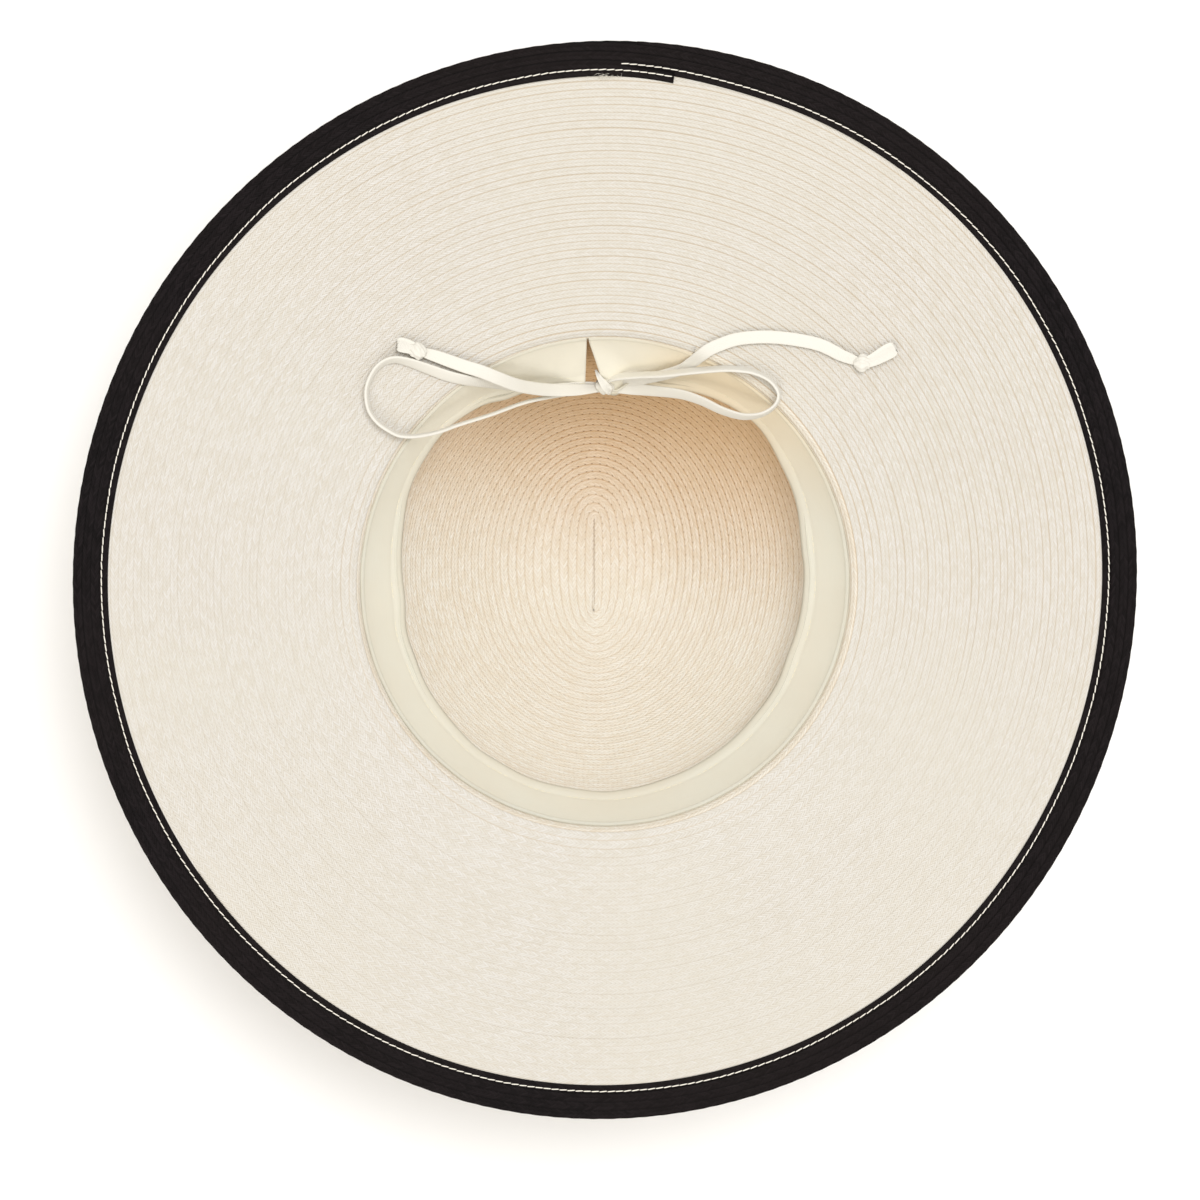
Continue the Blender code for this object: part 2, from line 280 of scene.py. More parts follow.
def soften(values, passes):
    values = np.array(values, dtype=float)
    for _ in range(passes):
        inner = (values[:-2] + 2 * values[1:-1] + values[2:]) / 4
        values = np.concatenate([values[:1], inner, values[-1:]])
    return values


def tapeRings(line, tilt, width, thick, curl, fold=0.0):
    ahead = unitRows(np.gradient(line, axis=0))
    side = unitRows(np.cross((0, 0, 1), ahead))
    above = np.cross(ahead, side)
    lean = np.radians(tilt)[:, None]
    across = side * np.cos(lean) + above * np.sin(lean)
    face = above * np.cos(lean) - side * np.sin(lean)
    place = np.array([-1, -0.95, -0.8, -0.45, 0, 0.45, 0.8, 0.95, 1])
    puff = np.array([0.1, 0.8, 1.0, 0.82, 0.8, 0.82, 1.0, 0.8, 0.1])
    spread = np.concatenate([place, place[-2:0:-1]])
    rise = np.concatenate([puff, -puff[-2:0:-1]]) / 2
    width, thick, curl, fold = (np.broadcast_to(v, (len(line),))[:, None] for v in (width, thick, curl, fold))
    out = spread * width / 2
    up = rise * thick + curl * (1 - spread ** 2) + fold * np.cos(2 * math.pi * spread)
    rings = line[:, None, :] + across[:, None, :] * out[..., None] + face[:, None, :] * up[..., None]
    return rings, out


def brimTop(points):  # height of the straw under a point, where it is over the brim
    radius = np.hypot(points[..., 0], points[..., 1])
    angle = np.arctan2(points[..., 1], points[..., 0])
    return np.where(radius > brimInner - 0.001, brimHeight(np.maximum(radius, brimInner), angle), -1.0)


def makeTape(name, s):
    line, even, marks = evenLine(np.array(s["points"]) + tape["shift"], tape["spacing"])
    tilt = soften(np.interp(even, marks, s["tilt"]), 12)
    first, last = s["gather"]
    firstReach, lastReach = tape["bunch"]
    near = np.exp(-even / firstReach) * (1 - first) + np.exp(-(even[-1] - even) / lastReach) * (1 - last)
    width = tape["width"] * (1 - near)
    pleat = near * tape["pleat"]
    thick = tape["thick"] * (1 + tape["plump"] * np.sin(np.radians(np.abs(tilt))) ** 6)
    rings, out = tapeRings(line, tilt, width, thick, s["curl"], pleat)
    need = np.max(brimTop(rings) + tape["clear"] - rings[..., 2], axis=1)
    line[:, 2] += soften(np.clip(need, 0, 0.004), 10)
    rings, out = tapeRings(line, tilt, width, thick, s["curl"], pleat)
    piece = toPiece(name, rings, ringFaces(*rings.shape[:2]), stripUv(even, out))
    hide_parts(s["node"])
    return piece, line


tapes = {name: makeTape(name, s) for name, s in routes.items()}
print("drawstring tapes made:", ", ".join(tapes))

# knots are soft lumps with the tape's turns round them; a turn is (plane normal, offset, half width, lift)
knotSet = {"rows": 44, "columns": 60, "lumps": 0.00022, "tipSpacing": 0.0006, "tipPlump": 1.3, "tipCurl": 0.0004}
knots = {
    "bowKnot": {
        "node": "bow_knot", "lean": -32, "at": (0.9, 74.6, 73.0), "half": (3.9, 3.1, 3.6),
        "turns": [((0.97, 0.18, 0.1), -0.10, 0.40, 0.0006), ((0.55, -0.8, 0.2), 0.25, 0.34, 0.0004),
                  ((0.2, 0.95, 0.3), -0.35, 0.30, 0.0003)],
        "tips": [{"points": [(-2.6, 81.0, 76.6), (-1.6, 78.6, 77.3), (-0.4, 76.6, 77.2), (1.0, 74.6, 76.4),
                             (2.3, 73.2, 74.6), (3.0, 72.6, 72.4)],
                  "tilt": [20, 12, 4, -4, -8, -8], "width": (0.0008, 0.0018, 0.0027, 0.0036, 0.0038, 0.0030),
                  "fold": 0.00026, "round": 0.0}],
    },
    "tailKnotLeft": {
        "node": "tail_knot_left", "lean": -20, "at": (-71.6, 89.5, 107.4), "half": (3.7, 3.1, 2.2),
        "turns": [((0.9, 0.35, 0.1), 0.05, 0.42, 0.0005), ((0.3, 0.9, 0.25), 0.2, 0.36, 0.0003),
                  ((-0.5, 0.8, 0.3), -0.3, 0.28, 0.0003)],
        "tips": [{"points": [(-71.8, 89.6, 107.8), (-74.6, 90.8, 107.9), (-77.2, 91.5, 107.7), (-79.4, 91.9, 107.7)],
                  "tilt": [6, 14, 22, 26], "width": (0.0040, 0.0052, 0.0060, 0.0060), "fold": 0.00045, "round": 0.3}],
    },
    "tailKnotRight": {
        "node": "tail_knot_right", "lean": 28, "at": (97.2, 84.6, 108.8), "half": (3.6, 3.2, 2.2),
        "turns": [((0.85, -0.4, 0.1), 0.0, 0.42, 0.0005), ((0.4, 0.85, 0.25), 0.25, 0.36, 0.0003),
                  ((0.6, 0.7, -0.2), -0.3, 0.28, 0.0003)],
        "tips": [{"points": [(97.0, 84.3, 109.0), (101.1, 85.8, 109.6), (105.3, 88.1, 109.9), (109.4, 90.4, 110.2)],
                  "tilt": [-6, -10, -14, -16], "width": (0.0038, 0.0050, 0.0060, 0.0062), "fold": 0.0004,
                  "round": 0.3}],
    },
}


def makeKnot(name, s):
    middle, half = np.array(s["at"]) / 1000, np.array(s["half"]) / 1000
    rows, columns = knotSet["rows"], knotSet["columns"]
    polar = np.linspace(0.02, math.pi - 0.02, rows)[:, None]
    turn = np.linspace(0, 2 * math.pi, columns, endpoint=False)[None, :]
    way = np.stack([np.cos(polar) * np.ones_like(turn), np.sin(polar) * np.cos(turn),
                    np.sin(polar) * np.sin(turn)], axis=-1)
    swell = np.zeros(way.shape[:2])
    for normal, offset, wide, lift in s["turns"]:
        normal = np.array(normal) / np.linalg.norm(normal)
        reach = (way @ normal - offset) / wide
        swell = np.maximum(swell, lift / (1 + reach ** 10) * (0.8 + 0.2 * np.cos(3 * reach)))
    lumps = np.sin(5 * way[..., 0] + 7 * way[..., 1]) * np.cos(6 * way[..., 2] - 2 * way[..., 0])
    body = way * half * 0.9 + way * (swell + knotSet["lumps"] * lumps)[..., None]
    lean = math.radians(s["lean"])
    x = body[..., 0] * math.cos(lean) - body[..., 1] * math.sin(lean)
    y = body[..., 0] * math.sin(lean) + body[..., 1] * math.cos(lean)
    body = np.stack([x, y, body[..., 2]], axis=-1) + middle
    points, faces = [body.reshape(-1, 3)], ringFaces(rows, columns)
    uv = [np.stack([polar * half[0] * np.ones_like(turn), turn * half[1] * np.ones_like(polar)],
                   axis=-1).reshape(-1, 2)]
    first = rows * columns
    for tip in s["tips"]:
        line, even, marks = evenLine(tip["points"], knotSet["tipSpacing"])
        tilt = np.interp(even, marks, tip["tilt"])
        share = even / even[-1]
        width = np.interp(share, np.linspace(0, 1, len(tip["width"])), tip["width"])
        width = width * (1 - tip["round"] * np.clip((share - 0.82) / 0.18, 0, 1) ** 3)
        thick = tape["thick"] * knotSet["tipPlump"]
        rings, out = tapeRings(line, tilt, width, thick, knotSet["tipCurl"], tip["fold"])
        fray = np.array([random.uniform(-0.0004, 0.0003) for _ in range(rings.shape[1])])
        rings[-1] += fray[:, None] * unitRows(line[-1:] - line[-2:-1])
        points.append(rings.reshape(-1, 3))
        faces += ringFaces(*rings.shape[:2], first)
        uv.append(stripUv(even, out))
        first += rings.shape[0] * rings.shape[1]
    piece = toPiece(name, np.vstack(points), faces, np.vstack(uv))
    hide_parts(s["node"])
    return piece


knotPieces = {name: makeKnot(name, s) for name, s in knots.items()}

# sewn straw rows: each row's inner edge lies on the row before it
rowsSet = {
    "start": -90.0,  # degrees, the lower end of the straight start
    "pitchAt": [(0.0, 3.35), (0.05, 3.35), (0.10, 3.55), (crownEnd, 3.3), (crownEnd + 0.012, 3.05),
                (crownEnd + 0.035, 2.8), (crownEnd + 0.065, 2.76), (borderStart, 2.95), (borderStart + 0.02, 2.95)],
    "crownStep": 0.0032,
    "brimStep": 0.0047,
    "bend": 7.0,  # most degrees between two stations
    "top": [(0.0, -0.02), (0.02, 0.01), (0.21, 0.13), (0.37, 0.08), (0.48, -0.07), (0.59, 0.08), (0.76, 0.12),
            (0.91, 0.05), (1.0, -0.06), (1.32, -0.20)],
    "calm": [0.01, 0.04, 0.11, 0.07, -0.06, 0.07, 0.11, 0.07, 0.0, -0.16],  # the same places, pulled flatter
    "under": [(1.28, -0.60), (0.9, -0.66), (0.5, -0.52), (0.1, -0.30)],
    "ridge": [(0, 1.0), (20, 2.0), (50, 1.5), (90, 1.4), (120, 1.3), (150, 0.75), (180, 0.65), (205, 0.2),
              (240, 0.0), (320, 0.0), (335, 0.3), (360, 1.0)],  # degrees, share of the uneven section
    "ridgeIn": [(0.01, 0.1), (0.03, 0.3), (0.06, 1.0)],  # the same by metres from the middle
    "middle": 0.0018,  # metres from a row's inner edge to its middle
    "sway": 0.00009,
    "swell": 0.00003,
    "crease": 0.00018,  # along the straight start
    "rest": 0.0010,  # how much thicker the middle is underneath, where it rests on the floor
    "restReach": 0.030,
    "joinIn": 0.0036,  # how far before the turn's end the brim's rows begin
    "slipReach": 0.0012,  # how far the last row slips under the dark braid, and how low it lies there
    "slipLift": -0.00036,
}
sectionAcross = np.array([a for a, _ in rowsSet["top"] + rowsSet["under"]])
sectionLift = np.array([b for _, b in rowsSet["top"] + rowsSet["under"]]) / 1000
calmLift = np.array(rowsSet["calm"] + [b for _, b in rowsSet["under"]]) / 1000
topCount = len(rowsSet["top"])


def spiralTables():
    along = np.linspace(0, borderStart + 0.02, 6000)
    pitch = readTable(along, rowsSet["pitchAt"], 0.001)
    turns = np.concatenate([[0], np.cumsum(np.diff(along) / ((pitch[1:] + pitch[:-1]) / 2))])
    return along, pitch, turns


spiral = spiralTables()


def rowInner(turns):  # where a row's inner edge lies, for the turns sewn so far
    whole = np.floor(turns)
    share = turns - whole
    even = np.clip((turns - 1) / 12, 0, 1)  # early rows step out at the start's lower end, later ones evenly
    return np.interp(whole + share ** 9 * (1 - even) + share * even, spiral[2], spiral[0])


def slowNoise(turns, seed, waves):
    rng = random.Random(seed)
    total = 0
    for _ in range(waves):
        total = total + np.sin(turns * 2 * math.pi * rng.uniform(0.6, 7.5) + rng.uniform(0, 6.28))
    return total / math.sqrt(waves)


def evenTurns(first, last, step, middle):  # stations spaced by length and by how far the row bends
    fine = np.linspace(first, last, int((last - first) * 900) + 2)
    line = middle(fine)
    ahead = np.diff(line, axis=0)
    length = np.linalg.norm(ahead, axis=1)
    unit = unitRows(ahead)
    bend = np.degrees(np.arccos(np.clip(np.sum(unit[1:] * unit[:-1], axis=1), -1, 1)))
    cost = length / step + np.concatenate([[0], bend]) / rowsSet["bend"]
    total = np.concatenate([[0], np.cumsum(cost)])
    picked = np.interp(np.linspace(0, total[-1], int(total[-1]) + 2), total, fine)
    along = np.concatenate([[0], np.cumsum(length)])
    return picked, np.interp(picked, fine, along)


def sewnRows(first, last, step, startAlong=0.0):
    start = math.radians(rowsSet["start"])
    turns, along = evenTurns(first, last, step, lambda t: strawPoint(
        rowInner(t) + rowsSet["middle"], start + 2 * math.pi * t, 0.0))
    inner = rowInner(turns)
    pitch = np.interp(inner, spiral[0], spiral[1])
    calm = np.clip(turns - 1, 0, 1)
    inner = inner + rowsSet["sway"] * slowNoise(turns, 5, 9) * calm
    place = inner[:, None] + sectionAcross * pitch[:, None]
    angle = start + 2 * math.pi * turns
    ridge = readTable(np.degrees(angle) % 360, rowsSet["ridge"]) * readTable(inner, rowsSet["ridgeIn"])
    lift = calmLift + (sectionLift - calmLift) * ridge[:, None]
    lift = lift + rowsSet["swell"] * slowNoise(turns, 8, 9)[:, None]
    lift[:, 0] -= rowsSet["crease"] * np.clip(4 - 4 * turns, 0, 1)
    lift[:, topCount:] -= rowsSet["rest"] * np.clip(1.5 - inner / rowsSet["restReach"], 0, 1)[:, None]
    hidden = (place > borderStart - 0.0002) & (np.arange(len(sectionAcross)) < topCount)
    lift = np.where(hidden, np.minimum(lift, rowsSet["slipLift"]), lift)
    place = np.minimum(place, borderStart + rowsSet["slipReach"])
    points = strawPoint(place, angle[:, None], lift)
    return points, stripUv(startAlong + along, sectionAcross), startAlong + along[-1]


def turnsAt(along):
    return float(np.interp(along, spiral[0], spiral[2]))


crownTurns = turnsAt(crownEnd - rowsSet["joinIn"])
brimTurns = turnsAt(borderStart - 0.0004)

crownPoints, crownUv, sewnSoFar = sewnRows(0, crownTurns, rowsSet["crownStep"])
crownFaces = ringFaces(*crownPoints.shape[:2])

# a slip of braid under the straight start closes it from below
slip = {
    "halfWidth": 0.0030,
    "past": 0.0026,  # how far it reaches past the start's ends
    "points": 48,
    "rings": ((0.9, -0.00040), (1.0, -0.00048), (1.0, -0.00170), (0.9, -0.00178)),  # share, height from the wall's top
}
slipAngle = np.linspace(0, 2 * math.pi, slip["points"], endpoint=False)
slipX, slipY = slip["halfWidth"] * np.cos(slipAngle), (hat["startOval"] + slip["past"]) * np.sin(slipAngle)
slipPoints = np.array([np.stack([slipX * k, slipY * k, np.full(slip["points"], hat["wall"] + h)], axis=-1)
                       for k, h in slip["rings"]])
slipUv = np.stack([slipPoints[..., 1] + 0.05, 0.5 + slipPoints[..., 0] * 300], axis=-1).reshape(-1, 2)
crownPoints = crownPoints.reshape(-1, 3)
crownFaces += [f[::-1] for f in ringFaces(len(slip["rings"]), slip["points"], len(crownPoints))]
crownBraid = toPiece("crownBraid", np.vstack([crownPoints, slipPoints.reshape(-1, 3)]), crownFaces,
                     np.vstack([crownUv, slipUv]), "rowUv")
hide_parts("crown_tip", "crown_side")
print("crown sewn:", round(crownTurns, 1), "rows,", round(sewnSoFar, 1), "m of braid")

brimPoints, brimUv, sewnSoFar = sewnRows(crownTurns, brimTurns, rowsSet["brimStep"], sewnSoFar)
brimBraid = toPiece("brimBraid", brimPoints, ringFaces(*brimPoints.shape[:2]), brimUv, "rowUv")
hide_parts("brim")
print("brim sewn:", round(brimTurns - crownTurns, 1), "rows,", round(sewnSoFar, 1), "m of braid in all")

# four dark rows round the edge, from a loose tab at the back
border = {
    "tabAngle": 82.6,
    "tabOut": 0.0013,  # how far the tab's end stands in from its row
    "tabLength": 8.0,  # degrees
    "tabLift": 0.0004,
    "rows": 4,
    "step": 0.0028,
    "middle": 0.0016,
    "sway": 0.00007,
    "swell": 0.00004,
}
borderPitch = hat["borderWidth"] / border["rows"] / math.cos(slope)


def borderInner(turns):
    total = np.zeros_like(turns)
    for k in range(1, border["rows"] + 1):
        x = np.clip((turns - (k - 0.03)) / 0.07, 0, 1)
        total = total + x * x * (3 - 2 * x)
    return borderStart + borderPitch * total


def tabShare(turns):
    return np.clip(1 - turns * 360 / border["tabLength"], 0, 1) ** 1.5


def borderRows():
    first = math.radians(border["tabAngle"])
    turns, along = evenTurns(0.0, border["rows"] + 0.012, border["step"],
                             lambda t: strawPoint(borderInner(t) + border["middle"], first + 2 * math.pi * t, 0.0))
    tab = tabShare(turns)
    sway = border["sway"] * slowNoise(turns, 21, 8)
    inner = borderInner(turns) - border["tabOut"] * tab + sway * np.clip(turns * 20, 0, 1)
    place = inner[:, None] + sectionAcross * borderPitch
    edge = borderStart + borderPitch * border["rows"]
    lift = sectionLift + (border["tabLift"] * tab + border["swell"] * slowNoise(turns, 22, 8))[:, None]
    place = np.minimum(place, edge + 0.00008 * np.sin(along * 900)[:, None])
    return strawPoint(place, (first + 2 * math.pi * turns)[:, None], lift), stripUv(along, sectionAcross)


edgePoints, edgeUv = borderRows()
edgeBraid = toPiece("edgeBraid", edgePoints, ringFaces(*edgePoints.shape[:2]), edgeUv, "rowUv")
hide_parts("edge_braid")
print("edge braid sewn")

# cream lockstitch on the first dark row
stitchSet = {"length": 0.0030, "gap": 0.00010, "thick": 0.00022, "in": 0.0024, "lift": 0.00030, "lastTurn": 1.0165,
             "sway": 0.00010, "skew": 0.08}
stitchStations, stitchSides = 5, 6


def stitchMesh(centres, aheads, ups, long, thick, skews):  # one plump capsule for each stitch
    share = np.array([0.0, 0.12, 0.5, 0.88, 1.0])
    girth = np.array([0.42, 0.92, 1.0, 0.92, 0.42])
    turn = np.linspace(0, 2 * math.pi, stitchSides + 1)[:-1]
    dip = -(np.abs(2 * share - 1) ** 3) * thick * 0.6
    points, faces, uv = [], [], []
    for k, (centre, ahead, up, skew) in enumerate(zip(centres, aheads, ups, skews)):
        ahead = ahead + np.cross(up, ahead) * skew
        ahead = ahead / np.linalg.norm(ahead)
        side = np.cross(up, ahead)
        spine = centre + ahead * ((share - 0.5) * long)[:, None] + up * dip[:, None]
        rings = (spine[:, None, :] + side * (np.cos(turn)[None, :, None] * (girth * thick)[:, None, None])
                 + up * (np.sin(turn)[None, :, None] * (girth * thick * 0.8)[:, None, None]))
        points.append(rings.reshape(-1, 3))
        faces += [f[::-1] for f in ringFaces(stitchStations, stitchSides, k * stitchStations * stitchSides)]
        uv.append(np.stack([np.repeat(share * long, stitchSides), np.tile(turn * thick, stitchStations)], axis=-1))
    return np.vstack(points), faces, np.vstack(uv)


def edgeStitches(s):
    first = math.radians(border["tabAngle"])
    fine = np.linspace(0.0006, s["lastTurn"], 9000)
    inner = borderInner(fine) - border["tabOut"] * tabShare(fine) + s["in"]
    inner = inner + s["sway"] * slowNoise(fine * 6, 31, 6)
    lift = s["lift"] + border["tabLift"] * tabShare(fine)
    line = strawPoint(inner, first + 2 * math.pi * fine, lift)
    dist = runLength(line)
    count = int(dist[-1] / (s["length"] + s["gap"]))
    marks = (np.arange(count) + 0.5) * dist[-1] / count
    centres = pointsAt(marks, dist, line)
    aheads = unitRows(pointsAt(marks + 0.0005, dist, line) - centres)
    angle = np.arctan2(centres[:, 1], centres[:, 0])
    ups = polarPoints(-math.sin(slope), angle, np.full(count, math.cos(slope)))
    rng = random.Random(4)
    skews = [s["skew"] + rng.uniform(-0.05, 0.05) for _ in range(count)]
    return stitchMesh(centres, aheads, ups, s["length"], s["thick"], skews)


stitchPoints, stitchFaces, stitchUv = edgeStitches(stitchSet)
edgeThread = toPiece("edgeThread", stitchPoints, stitchFaces, stitchUv, "rowUv")
print("edge stitches:", len(stitchPoints) // (stitchStations * stitchSides))

# sweatband: hangs from the turn, leans in, open at the slit, with a cord casing along its free edge
band = {
    "length": 0.59,
    "depth": 0.030,
    "inset": 0.0009,
    "lean": [(0, 13.6), (15, 12.6), (30, 10.0), (45, 7.6), (57, 10.0), (70, 14.6), (82, 18.2), (95, 18.8), (105, 17.2),
             (115, 13.8), (124, 11.0), (136, 8.8), (150, 9.0), (165, 12.6), (180, 15.0), (210, 12.0), (240, 9.2),
             (270, 7.7), (300, 9.2), (330, 12.0), (345, 13.4), (360, 13.6)],  # degrees, mm the free edge leans in
    "curl": 1.22,
    "thick": 0.0006,
    "slitAngle": 94.4,
    "slitTop": 0.0006,
    "slitWidth": 0.0090,
    "slitLean": 0.0184,
    "slitFolds": ((-0.16, 0.045, 0.0022, -0.22), (-0.30, 0.06, -0.0013, -0.26), (-0.07, 0.028, -0.0009, -0.10),
                  (0.13, 0.05, 0.0010, 0.16), (0.42, 0.07, 0.0012, 0.2)),  # radians off, half width, size, slant
    "tuck": 0.0022,  # how far the edge by the knot turns in
    "rideUp": (0.0009, 0.0013),  # how far its top moves out and up at the back
    "columns": 660,
    "folds": 34,
    "casing": 0.76,  # where the casing's stitch line runs, as a share of the depth
    "casingStitch": {"count": 205, "length": 0.0021, "thick": 0.00016, "skew": 0.03},
}


def bandProfileRows():
    seam = [(0, 0.0007, -0.0011), (0, 0.0005, -0.0002), (0, 0.0000, 0.0003)]
    down = [(share, 0.0, 0.0) for share in np.linspace(0.015, 1.0, 30)]
    hem = [(1, 0.0004, -0.0005), (1, 0.0010, -0.0004), (1, 0.0013, 0.0004), (1, 0.0014, 0.0022), (1, 0.0013, 0.0050)]
    return seam + down + hem, len(seam) + len(down)


leanAngles = np.arange(0, 361, 3)
leanTable = readTable(leanAngles, band["lean"], 0.001)
for _ in range(4):
    leanTable = (np.roll(leanTable[:-1], 1) + 2 * leanTable[:-1] + np.roll(leanTable[:-1], -1)) / 4
    leanTable = np.append(leanTable, leanTable[0])


def bandLine(angle, share):
    lean = np.interp(np.degrees(angle) % 360, leanAngles, leanTable)
    radius = hat["headRadius"] - band["inset"] - lean * share ** band["curl"]
    casing = 0.0004 * np.exp(-((share - 0.88) / 0.085) ** 2)  # round the tape, with a dip at its stitch line
    casing = casing - 0.00022 * np.exp(-((share - band["casing"]) / 0.03) ** 2)
    rng = random.Random(17)
    fold = np.zeros_like(angle)
    for _ in range(band["folds"]):
        at, wide = rng.uniform(0, 2 * math.pi), rng.uniform(0.05, 0.13)
        size, slant, deep = rng.uniform(-0.0003, 0.0004), rng.uniform(-0.12, 0.12), rng.uniform(0.8, 2.0)
        away = shortTurn(angle - at - slant * (share - 0.5))
        fold = fold + size * np.exp(-(away / wide) ** 2) * share ** deep
    slit = math.radians(band["slitAngle"])
    fold = fold + 0.0001 * np.sin(19 * angle + 3 * share) * share ** 1.2
    for at, wide, size, slant in band["slitFolds"]:
        away = shortTurn(angle - slit - at - slant * (share - 1.0))
        fold = fold + size * np.exp(-(away / wide) ** 2) * share ** 1.1
    return radius - casing - np.maximum(fold, -0.0012), turnHeight - band["depth"] * share


def makeBand():
    profileRows, firstHem = bandProfileRows()
    columns = np.linspace(0, 1, band["columns"] + 1)
    points, uv, down = [], [], 0.0
    slit = math.radians(band["slitAngle"])
    outRide, upRide = band["rideUp"]
    for number, (share, dr, dz) in enumerate(profileRows):
        parting = band["slitTop"] + (band["slitWidth"] - band["slitTop"]) * share ** 1.45
        parting /= hat["headRadius"] - band["slitLean"]
        angle = slit + 0.1 * parting + (2 * math.pi - parting) * columns
        radius, height = bandLine(angle, np.full_like(angle, share))
        tuck = np.exp(-((columns - 1) / 0.010) ** 2) * band["tuck"] * share ** 2
        ride = np.exp(-(shortTurn(angle - math.radians(95)) / 0.6) ** 2) * (1 - share) ** 2
        wave = 0.00035 * np.sin(9 * angle + 1.0) * (number >= firstHem) + 0.0002 * np.sin(31 * angle)
        points.append(polarPoints(radius + dr - tuck + outRide * ride, angle, height + upRide * ride + dz + wave))
        if number:
            down += float(np.mean(np.linalg.norm(points[-1] - points[-2], axis=1)))
        uv.append(np.stack([columns * band["length"], np.full_like(columns, down)], axis=-1))
    points, uv = np.array(points), np.array(uv)
    rows, count = points.shape[:2]
    grid = np.arange(rows * count).reshape(rows, count)
    faces = np.stack([grid[:-1, :-1], grid[:-1, 1:], grid[1:, 1:], grid[1:, :-1]], axis=-1).reshape(-1, 4)
    piece = toPiece("sweatCloth", points, faces.tolist(), uv.reshape(-1, 2))
    skin = piece.modifiers.new("clothThickness", "SOLIDIFY")
    skin.thickness = band["thick"]
    skin.offset = 1.0
    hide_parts("sweatband")
    return piece, down


def makeBandStitches(s):
    angle = math.radians(band["slitAngle"] + 2) + np.linspace(0, 1, s["count"]) * math.radians(354)
    radius, height = bandLine(angle, np.full(s["count"], band["casing"]))
    centres = polarPoints(radius - band["thick"] - 0.00005, angle, height)
    aheads = np.roll(centres, -1, axis=0) - centres
    aheads[-1] = aheads[-2]
    aheads = unitRows(aheads)
    ups = polarPoints(-1.0, angle, np.full(s["count"], 0.45))
    ups = unitRows(ups - aheads * np.sum(ups * aheads, axis=1)[:, None])
    points, faces, uv = stitchMesh(centres, aheads, ups, s["length"], s["thick"], [s["skew"]] * s["count"])
    return toPiece("bandThread", points, faces, uv, "rowUv")


sweatband, bandDown = makeBand()
bandThread = makeBandStitches(band["casingStitch"])
print("sweatband hung,", round(bandDown * 1000, 1), "mm of cloth from seam to hem")


# pale loose fibres where the tab's row was sewn down
fibreSet = {"count": 46, "angle": 90.4, "spread": 0.9, "in": 0.0004, "scatter": 0.0006, "thick": 0.00005,
            "radius": 0.19}


def looseFibres(s):
    rng = random.Random(3)
    points, faces, uv = [], [], []
    ring = s["thick"] * np.array([(0, 1, 0), (1, 0, 0), (0, -1, 0), (0, 0, 1)])
    for k in range(s["count"]):
        angle = math.radians(s["angle"] + rng.gauss(0, s["spread"]))
        along = borderStart - s["in"] + rng.gauss(0, s["scatter"])
        way = rng.uniform(0, math.pi)
        long, lift = rng.uniform(0.0010, 0.0030), rng.uniform(0.00032, 0.0006)
        share = np.linspace(-0.5, 0.5, 5)
        bendy = rng.uniform(-0.0005, 0.0005) * (1 - (2 * share) ** 2)
        across = long * share * math.sin(way) + bendy * math.cos(way)
        turn = (long * share * math.cos(way) - bendy * math.sin(way)) / s["radius"]
        line = strawPoint(along + across, angle + turn, lift)
        points.append((line[:, None, :] + ring).reshape(-1, 3))
        faces += ringFaces(5, 4, k * 20)
        uv.append(np.stack([np.repeat(share * long, 4), np.tile([0, 1, 2, 3], 5) * 0.0001], axis=-1))
    return toPiece("looseFibres", np.vstack(points), faces, np.vstack(uv), "rowUv")


fibres = looseFibres(fibreSet)


def tint(red, green, blue):  # a colour as picked on screen, 0 to 255
    def one(c):
        c = c / 255
        return c / 12.92 if c <= 0.04045 else ((c + 0.055) / 1.055) ** 2.4
    return (one(red), one(green), one(blue), 1.0)


